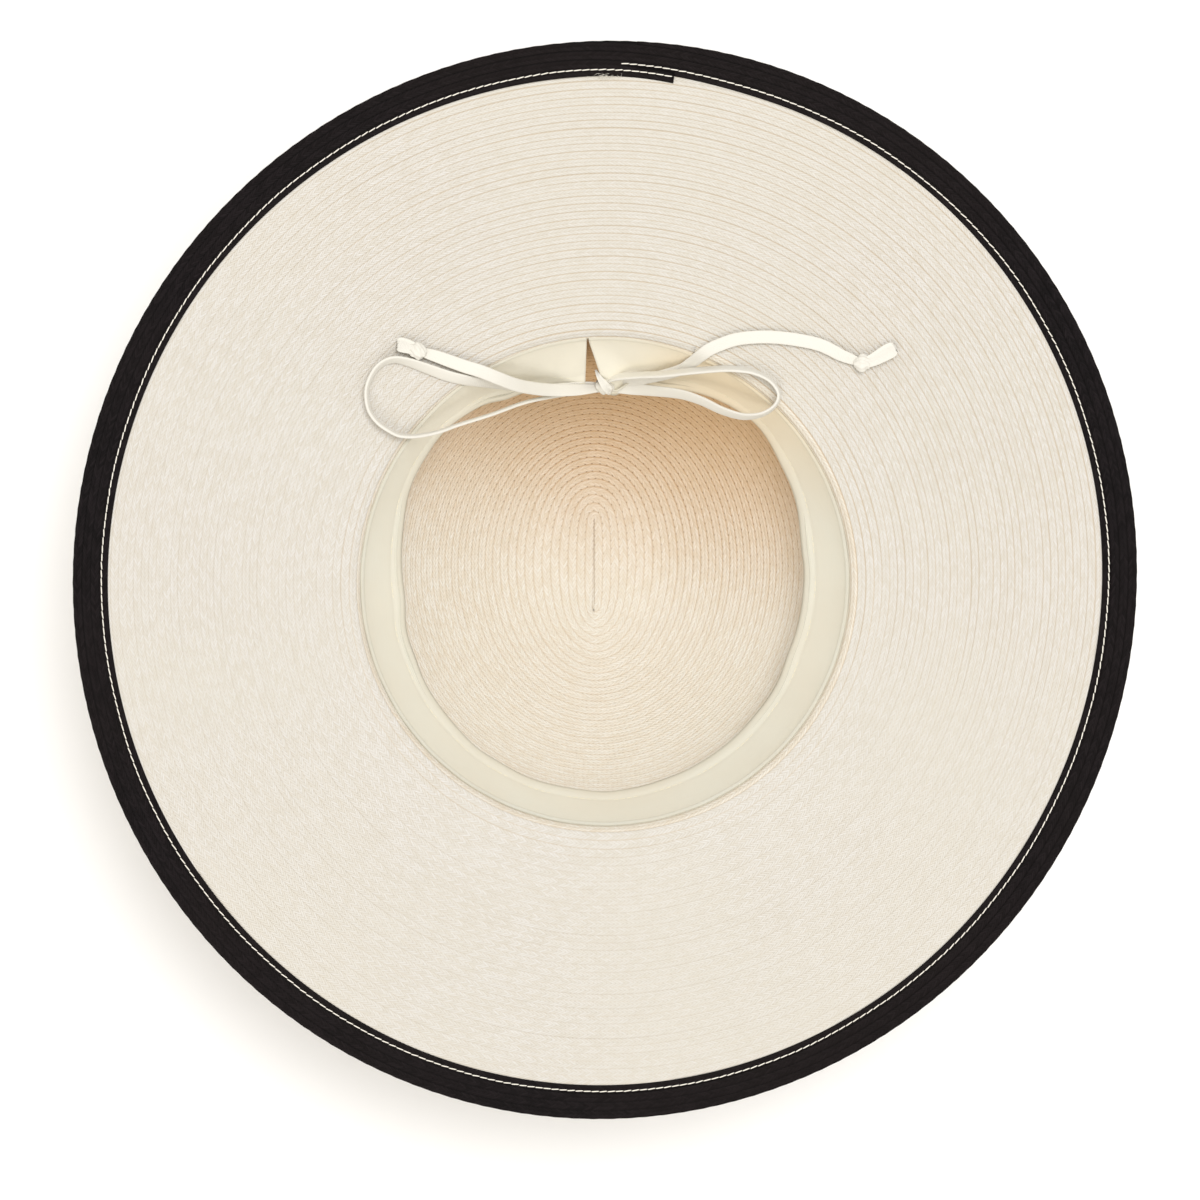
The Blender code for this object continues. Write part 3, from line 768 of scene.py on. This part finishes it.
class nodeBench:  # short ways to add nodes and link them
    def __init__(self, tree):
        self.tree = tree

    def add(self, kind, **settings):
        node = self.tree.nodes.new(kind)
        for key, value in settings.items():
            setattr(node, key, value)
        return node

    def feed(self, socket, value):
        if isinstance(value, bpy.types.NodeSocket):
            self.tree.links.new(value, socket)
        else:
            socket.default_value = value

    def calc(self, operation, a, b=None, c=None):
        node = self.add("ShaderNodeMath", operation=operation)
        for socket, value in zip(node.inputs, (a, b, c)):
            if value is not None:
                self.feed(socket, value)
        return node.outputs[0]

    def times(self, a, b):
        return self.calc("MULTIPLY", a, b)

    def timesPlus(self, a, b, c):
        return self.calc("MULTIPLY_ADD", a, b, c)

    def ease(self, value, low, high, toLow=0.0, toHigh=1.0):
        node = self.add("ShaderNodeMapRange", interpolation_type="SMOOTHSTEP")
        for socket, item in zip(node.inputs, (value, low, high, toLow, toHigh)):
            self.feed(socket, item)
        return node.outputs[0]

    def mix(self, share, a, b, blend="MIX"):
        node = self.add("ShaderNodeMix", data_type="RGBA", blend_type=blend)
        self.feed(node.inputs[0], share)
        self.feed(node.inputs[6], a)
        self.feed(node.inputs[7], b)
        return node.outputs[2]

    def noise(self, vector, scale, detail=2.0, rough=0.5):
        node = self.add("ShaderNodeTexNoise")
        self.feed(node.inputs["Vector"], vector)
        self.feed(node.inputs["Scale"], scale)
        self.feed(node.inputs["Detail"], detail)
        self.feed(node.inputs["Roughness"], rough)
        return node.outputs[0]

    def join(self, x, y, z=0.0):
        node = self.add("ShaderNodeCombineXYZ")
        for socket, value in zip(node.inputs, (x, y, z)):
            self.feed(socket, value)
        return node.outputs[0]

    def parts(self, vector):
        node = self.add("ShaderNodeSeparateXYZ")
        self.feed(node.inputs[0], vector)
        return node.outputs

    def shade(self, mask, share, colour, other, blend="MIX"):  # the other colour over a share of the mask
        return self.mix(self.times(mask, share), colour, other, blend)

    def dent(self, shader, height, strength, distance):
        bump = self.add("ShaderNodeBump")
        bump.inputs["Strength"].default_value = strength
        bump.inputs["Distance"].default_value = distance
        self.feed(bump.inputs["Height"], height)
        self.feed(shader.inputs["Normal"], bump.outputs[0])


def startGroup(name, inputs, outputs):  # an input without a value is a vector
    group = bpy.data.node_groups.new(name, "ShaderNodeTree")
    for label, value in inputs.items():
        kind = "NodeSocketVector" if value is None else "NodeSocketFloat"
        socket = group.interface.new_socket(name=label, in_out="INPUT", socket_type=kind)
        if value is not None:
            socket.default_value = value
    for label in outputs:
        group.interface.new_socket(name=label, in_out="OUTPUT", socket_type="NodeSocketFloat")
    bench = nodeBench(group)
    return group, bench, bench.add("NodeGroupInput").outputs, bench.add("NodeGroupOutput").inputs


def plaitGroup():  # chevrons of flat straw, with the row UV as (metres along, rows across)
    group, b, given, out = startGroup("plait", {
        "Row UV": None, "Row Width": 0.003, "Strand Step": 0.0017, "Slant": 1.5},
        ["Height", "Gap", "Tone", "Fibre", "Crease", "Seam"])
    u, v, _ = b.parts(given["Row UV"])
    fold = b.times(b.calc("ABSOLUTE", b.calc("SUBTRACT", v, 0.5)), 2.0)
    course = b.timesPlus(fold, given["Slant"], b.calc("DIVIDE", u, given["Strand Step"]))
    place = b.calc("FRACT", course)
    strand = b.calc("FLOOR", course)
    side = b.calc("GREATER_THAN", v, 0.5)
    arch = b.calc("SUBTRACT", 1.0, b.calc("POWER", b.calc("ABSOLUTE", b.timesPlus(place, 2.0, -1.0)), 2.6))
    gap = b.ease(arch, 0.0, 0.42, 1.0, 0.0)
    chance = b.add("ShaderNodeTexWhiteNoise", noise_dimensions="1D")
    b.feed(chance.inputs["W"], b.timesPlus(side, 313.7, strand))
    across = b.times(v, given["Row Width"])
    grain = b.timesPlus(place, 2.4, b.times(across, 5200.0))
    fibre = b.noise(b.join(b.times(u, 260.0), grain, strand), 1.0, 2.0, 0.6)
    seam = b.calc("MAXIMUM", b.ease(v, 0.03, 0.10, 1.0, 0.0), b.ease(v, 0.88, 0.99, 0.0, 1.0))
    middle = b.ease(fold, 0.0, 0.16, 1.0, 0.0)
    height = b.timesPlus(fibre, 0.35, b.times(arch, 0.65))
    height = b.calc("SUBTRACT", height, b.times(middle, 0.22))
    crease = b.calc("MAXIMUM", seam, b.times(middle, 0.5))
    for label, socket in (("Height", height), ("Gap", gap), ("Tone", chance.outputs["Value"]), ("Fibre", fibre),
                          ("Crease", crease), ("Seam", seam)):
        b.feed(out[label], socket)
    return group


def needleGroup():  # small holes where the thread goes down between rows
    group, b, given, out = startGroup("needleHoles", {
        "Row UV": None, "Spacing": 0.0032, "Across": 0.09, "Size": 0.0004, "Row Width": 0.0036}, ["Hole"])
    u, v, _ = b.parts(given["Row UV"])
    step = b.calc("DIVIDE", u, given["Spacing"])
    drift = b.noise(b.join(b.calc("FLOOR", step), 0.0), 0.73, 0.0)
    du = b.times(b.calc("ADD", b.calc("FRACT", step), b.timesPlus(drift, 0.5, -0.75)), given["Spacing"])
    dv = b.times(b.calc("SUBTRACT", v, given["Across"]), given["Row Width"])
    far = b.calc("SQRT", b.calc("ADD", b.times(du, du), b.times(b.times(dv, dv), 2.2)))
    b.feed(out["Hole"], b.ease(b.calc("DIVIDE", far, given["Size"]), 0.45, 1.0, 1.0, 0.0))
    return group


def tintGroup():  # slow and fine changes of tone over the object
    group, b, given, out = startGroup("toneVariation", {
        "Place": None, "Slow Scale": 9.0, "Fine Scale": 120.0}, ["Slow", "Fine"])
    b.feed(out["Slow"], b.ease(b.noise(given["Place"], given["Slow Scale"], 3.0, 0.55), 0.32, 0.68))
    b.feed(out["Fine"], b.noise(given["Place"], given["Fine Scale"], 3.0, 0.6))
    return group


def weaveGroup():  # plain weave or twill from the cloth UV in metres
    group, b, given, out = startGroup("clothWeave", {
        "Cloth UV": None, "Thread": 0.0003, "Twill": 0.0}, ["Height", "Thread Tone"])
    u, v, _ = b.parts(given["Cloth UV"])
    pu, pv = b.calc("DIVIDE", u, given["Thread"]), b.calc("DIVIDE", v, given["Thread"])
    su = b.calc("SINE", b.times(pu, math.pi))
    sv = b.calc("SINE", b.times(pv, math.pi))
    plain = b.timesPlus(b.times(su, sv), 0.5, 0.5)
    slope45 = b.calc("SINE", b.times(b.calc("ADD", pu, pv), math.pi / 1.5))
    twill = b.timesPlus(slope45, 0.5, 0.5)
    blend = b.timesPlus(b.calc("SUBTRACT", twill, plain), given["Twill"], plain)
    slub = b.noise(b.join(b.times(pu, 0.05), b.times(pv, 0.7)), 1.0, 2.0)
    b.feed(out["Height"], b.timesPlus(slub, 0.3, blend))
    b.feed(out["Thread Tone"], slub)
    return group


groups = {"plait": plaitGroup(), "holes": needleGroup(), "tone": tintGroup(), "weave": weaveGroup()}
print("shader groups built")


def startMaterial(name, rough, specular, sheen=0.0, sheenRough=0.5):
    material = bpy.data.materials.new(name)
    material.use_nodes = True
    material.node_tree.nodes.clear()
    b = nodeBench(material.node_tree)
    end = b.add("ShaderNodeOutputMaterial")
    shader = b.add("ShaderNodeBsdfPrincipled")
    b.feed(end.inputs["Surface"], shader.outputs["BSDF"])
    shader.inputs["Roughness"].default_value = rough
    shader.inputs["Specular IOR Level"].default_value = specular
    shader.inputs["Sheen Weight"].default_value = sheen
    shader.inputs["Sheen Roughness"].default_value = sheenRough
    return material, b, shader


def useGroup(b, key, **values):
    node = b.add("ShaderNodeGroup")
    node.node_tree = groups[key]
    for label, value in values.items():
        b.feed(node.inputs[label.replace("_", " ")], value)
    return node.outputs


def strawMaterial(name, s):
    material, b, shader = startMaterial(name, s["rough"], s["specular"])
    rowUv = b.add("ShaderNodeUVMap", uv_map="rowUv").outputs[0]
    coords = b.add("ShaderNodeTexCoord").outputs
    place = coords["Object"]
    plait = useGroup(b, "plait", Row_UV=rowUv, Row_Width=s["row"], Strand_Step=s["strand"], Slant=s["slant"])
    holes = useGroup(b, "holes", Row_UV=rowUv, Spacing=s["holeStep"], Size=s["holeSize"], Row_Width=s["row"])
    tone = useGroup(b, "tone", Place=place, Slow_Scale=7.0, Fine_Scale=160.0)
    colour = b.shade(plait["Tone"], s["strandShare"], s["pale"], s["deep"])
    colour = b.shade(b.ease(plait["Fibre"], 0.35, 0.75), s["fibreShare"], colour, s["deep"])
    colour = b.shade(tone["Slow"], s["slowShare"], colour, s["warm"])
    x, y, z = b.parts(place)  # painted shade: the crown's inside darker and warmer below its rim and towards its back
    deep = b.times(b.ease(z, 0.100, 0.075), b.ease(b.timesPlus(x, 0.2, y), -0.02, 0.09))
    faceX, faceY, faceZ = b.parts(coords["Normal"])  # above 0 on the inside of the crown, below 0 on the outside
    inward = b.timesPlus(x, faceX, b.times(y, faceY))
    deep = b.times(deep, b.ease(b.timesPlus(inward, -11.0, faceZ), -0.2, 0.2))
    colour = b.shade(plait["Gap"], s["gapShare"], colour, s["line"])
    reach = b.calc("SQRT", b.calc("ADD", b.times(x, x), b.times(y, y)))
    # painted shadow: the row lines darker on the side of the hat towards the light, where the rows' steps face away
    # from it
    stepShadowSide = b.ease(b.calc("DIVIDE", b.timesPlus(x, 0.5, b.times(y, 0.86)), reach), -0.1, 0.8)
    stepShadowSide = b.times(stepShadowSide, b.ease(reach, 0.008, 0.045))  # the lines fade towards the crown's middle
    # the crease colour is partly the real dark joint between rows, partly this painted shadow
    tan = b.timesPlus(stepShadowSide, s["creaseShare"], s["creaseShare"] * 0.18)
    colour = b.shade(plait["Crease"], tan, colour, s["line"])
    # stronger seam lines near the band: partly the brown thread, partly painted shade on the rows that turn down there
    nearBandThreadAndShade = b.ease(reach, 0.108, 0.101, s["seamShare"], s["seamShare"] + 0.2)
    colour = b.shade(plait["Seam"], nearBandThreadAndShade, colour, s["line"])
    # painted shade inside the crown, on the mask above
    colour = b.shade(deep, s["insideShare"], colour, s["inside"], "MULTIPLY")
    # painted shade: the crown's wall a little darker near its top, under the band
    colour = b.mix(b.ease(z, 0.085, 0.1005), colour, s["rimShade"], "MULTIPLY")
    # painted shade: the crown's flat middle toned down, as the light falls on it most
    colour = b.shade(b.ease(z, 0.05, 0.0), s["insideShare"], colour, s["bottomShade"], "MULTIPLY")
    # the needle holes, painted darker still where the crown's inside is painted in shade
    holeShareWithShade = b.timesPlus(deep, s["insideShare"] * 0.9, s["holeShare"])
    colour = b.shade(holes["Hole"], holeShareWithShade, colour, s["hole"])
    b.feed(shader.inputs["Base Color"], colour)
    b.feed(shader.inputs["Roughness"], b.timesPlus(plait["Fibre"], 0.22, s["rough"] - 0.1))
    dent = b.times(holes["Hole"], b.timesPlus(deep, s["insideShare"], 0.2))
    height = b.calc("SUBTRACT", plait["Height"], dent)
    height = b.timesPlus(tone["Fine"], 0.2, height)
    b.dent(shader, height, s["bump"], 0.00022)
    return material


white = tint(255, 255, 255)
anyStraw = {"inside": white, "insideShare": 0.0, "rimShade": white, "bottomShade": white, "slant": 1.5, "slowShare": 0.4,
            "gapShare": 0.5, "seamShare": 0.02, "rough": 0.62, "specular": 0.3, "bump": 0.8}
brimStraw = strawMaterial("bleachedStraw", {
    **anyStraw, "pale": tint(213, 211, 208), "deep": tint(196, 189, 175), "warm": tint(208, 204, 194),
    "line": tint(188, 164, 128), "hole": tint(166, 142, 106), "row": 0.0029, "strand": 0.0017, "holeStep": 0.0034,
    "holeSize": 0.00034, "holeShare": 0.12, "strandShare": 0.55, "fibreShare": 0.5, "slowShare": 0.5, "gapShare": 0.4,
    "creaseShare": 0.38})
# painted light and shade: the crown's straw is a paler copy of the brim's, to make up for the light it lacks inside;
# its inside, rim and bottom tints are painted shade
crownStrawPaintedLight = strawMaterial("crownStrawPaintedLight", {
    **anyStraw, "pale": tint(243, 243, 239), "deep": tint(224, 213, 193), "warm": tint(237, 234, 224),
    "line": tint(200, 172, 134), "inside": tint(230, 197, 158), "insideShare": 1.0, "rimShade": tint(238, 235, 231),
    "bottomShade": tint(245, 243, 241), "hole": tint(120, 80, 46), "row": 0.0034, "strand": 0.0019, "holeStep": 0.0031,
    "holeSize": 0.00056, "holeShare": 0.10, "strandShare": 0.6, "fibreShare": 0.55, "creaseShare": 0.42})
darkStraw = strawMaterial("blackStraw", {
    **anyStraw, "pale": tint(29, 24, 26), "deep": tint(11, 8, 9), "warm": tint(29, 23, 22), "line": tint(9, 7, 7),
    "hole": tint(8, 7, 7), "row": 0.0033, "strand": 0.0017, "holeStep": 0.0033, "holeSize": 0.0004, "holeShare": 0.4,
    "strandShare": 0.9, "fibreShare": 0.6, "seamShare": 0.5, "creaseShare": 0.3, "rough": 0.55, "specular": 0.07,
    "bump": 0.7})


def clothMaterial(name, s):
    material, b, shader = startMaterial(name, s["rough"], s["specular"], s["sheen"], 0.4)
    clothUv = b.add("ShaderNodeUVMap", uv_map="clothUv").outputs[0]
    place = b.add("ShaderNodeTexCoord").outputs["Object"]
    weave = useGroup(b, "weave", Cloth_UV=clothUv, Thread=s["thread"], Twill=s["twill"])
    tone = useGroup(b, "tone", Place=place, Slow_Scale=22.0, Fine_Scale=420.0)
    colour = b.shade(weave["Thread Tone"], s["threadShare"], s["pale"], s["deep"])
    colour = b.shade(tone["Slow"], s["slowShare"], colour, s["warm"])
    x, y, z = b.parts(place)
    back = b.ease(y, 0.02, 0.085)  # painted light: the band paler and warmer towards the back of the opening, for light coming through the cloth
    colour = b.shade(back, s["backLightShare"], colour, s["back"])
    back = b.times(back, b.ease(x, 0.0, 0.05))  # painted shade: warmer still on its shaded right-hand side
    colour = b.shade(back, s["shadeShare"], colour, s["shade"])
    down = b.parts(clothUv)[1]  # painted shade: the turned edges at the seam and the hem are a little darker
    edge = b.calc("MAXIMUM", b.ease(down, 0.0040, 0.0012, 0.0, 1.0), b.ease(down, 0.0325, 0.0350, 0.0, 1.0))
    colour = b.shade(edge, s["edgeShadeShare"], colour, s["edge"], "MULTIPLY")
    b.feed(shader.inputs["Base Color"], colour)
    b.feed(shader.inputs["Roughness"], b.timesPlus(weave["Height"], -0.1, s["rough"] + 0.06))
    b.dent(shader, b.timesPlus(tone["Fine"], 0.8, weave["Height"]), s["bump"], 0.00012)
    return material


anyCloth = {"edge": white, "edgeShadeShare": 0.0, "back": white, "backLightShare": 0.0, "shade": white, "shadeShare": 0.0,
            "threadShare": 0.5, "specular": 0.3, "sheen": 0.12}
# the band's back colour is painted light, its shade and edge colours painted shade
bandCloth = clothMaterial("bandCotton", {
    **anyCloth, "pale": tint(233, 233, 223), "deep": tint(223, 219, 202), "warm": tint(229, 225, 211),
    "edge": tint(226, 225, 222), "edgeShadeShare": 1.0, "back": tint(246, 237, 218), "backLightShare": 0.34,
    "shade": tint(248, 222, 176), "shadeShare": 0.45, "thread": 0.00032, "twill": 0.15, "slowShare": 0.6,
    "rough": 0.72, "bump": 0.35})
tapeCloth = clothMaterial("tapeTwill", {
    **anyCloth, "pale": tint(225, 223, 216), "deep": tint(216, 211, 200), "warm": tint(221, 217, 207),
    "thread": 0.00036, "twill": 0.75, "slowShare": 0.4, "rough": 0.66, "bump": 0.5})


def threadMaterial(name, pale, deep):
    material, b, shader = startMaterial(name, 0.55, 0.4, 0.1, 0.4)
    rowUv = b.add("ShaderNodeUVMap", uv_map="rowUv").outputs[0]
    u, v, _ = b.parts(rowUv)
    twist = b.calc("SINE", b.calc("ADD", b.times(u, 9000.0), b.times(v, 3400.0)))
    b.feed(shader.inputs["Base Color"], b.mix(b.timesPlus(twist, 0.25, 0.3), pale, deep))
    b.dent(shader, twist, 0.5, 0.0001)
    return material


creamThread = threadMaterial("creamThread", tint(253, 250, 242), tint(238, 228, 208))
ivoryThread = threadMaterial("ivoryThread", tint(244, 238, 216), tint(226, 214, 184))
for piece, material in ((crownBraid, crownStrawPaintedLight), (brimBraid, brimStraw), (edgeBraid, darkStraw),
                        (sweatband, bandCloth), (bandThread, ivoryThread), (edgeThread, creamThread),
                        (fibres, creamThread)):
    piece.data.materials.append(material)
for piece in [p for p, _ in tapes.values()] + list(knotPieces.values()):
    piece.data.materials.append(tapeCloth)
print("materials assigned")

# plain pale floor and soft studio light from behind and to the right
studio = {
    "floorSize": 14.0,
    "aim": (0, 0, 0.08),
    "lights": {
        "keyLight": {"place": (0.24, 0.66, 2.45), "size": 1.0, "power": 33.0, "colour": (0.99, 0.995, 1.0)},
        "fillLight": {"place": (-0.7, -1.5, 2.2), "size": 2.0, "power": 15.0, "colour": (1.0, 0.95, 0.88)},
    },
    "world": {"Color": (1.0, 0.965, 0.905, 1), "Strength": 0.78},
}


def makeFloor():
    half = studio["floorSize"] / 2
    mesh = bpy.data.meshes.new("studioFloor")
    mesh.from_pydata([(-half, -half, 0), (half, -half, 0), (half, half, 0), (-half, half, 0)], [], [(0, 1, 2, 3)])
    newObject("studioFloor", mesh)
    material, b, shader = startMaterial("paleFloor", 0.8, 0.1)
    place = b.add("ShaderNodeTexCoord").outputs["Object"]
    b.feed(shader.inputs["Base Color"], b.mix(b.noise(place, 3.0, 2.0), tint(252, 252, 252), tint(249, 249, 250)))
    mesh.materials.append(material)


def areaLight(name, s):
    data = bpy.data.lights.new(name, "AREA")
    data.shape = "DISK"
    data.size = s["size"]
    data.energy = s["power"]
    data.color = s["colour"]
    lamp = newObject(name, data)
    lamp.location = s["place"]
    lamp.rotation_mode = "QUATERNION"
    lamp.rotation_quaternion = (Vector(studio["aim"]) - Vector(s["place"])).to_track_quat("-Z", "Y")
    lamp.visible_camera = False


makeFloor()
for name, s in studio["lights"].items():
    areaLight(name, s)
world = bpy.data.worlds.new("softStudio")
world.use_nodes = True
for label, value in studio["world"].items():
    world.node_tree.nodes["Background"].inputs[label].default_value = value
bpy.context.scene.world = world
bpy.context.scene.view_settings.view_transform = "Standard"
print("studio lit")
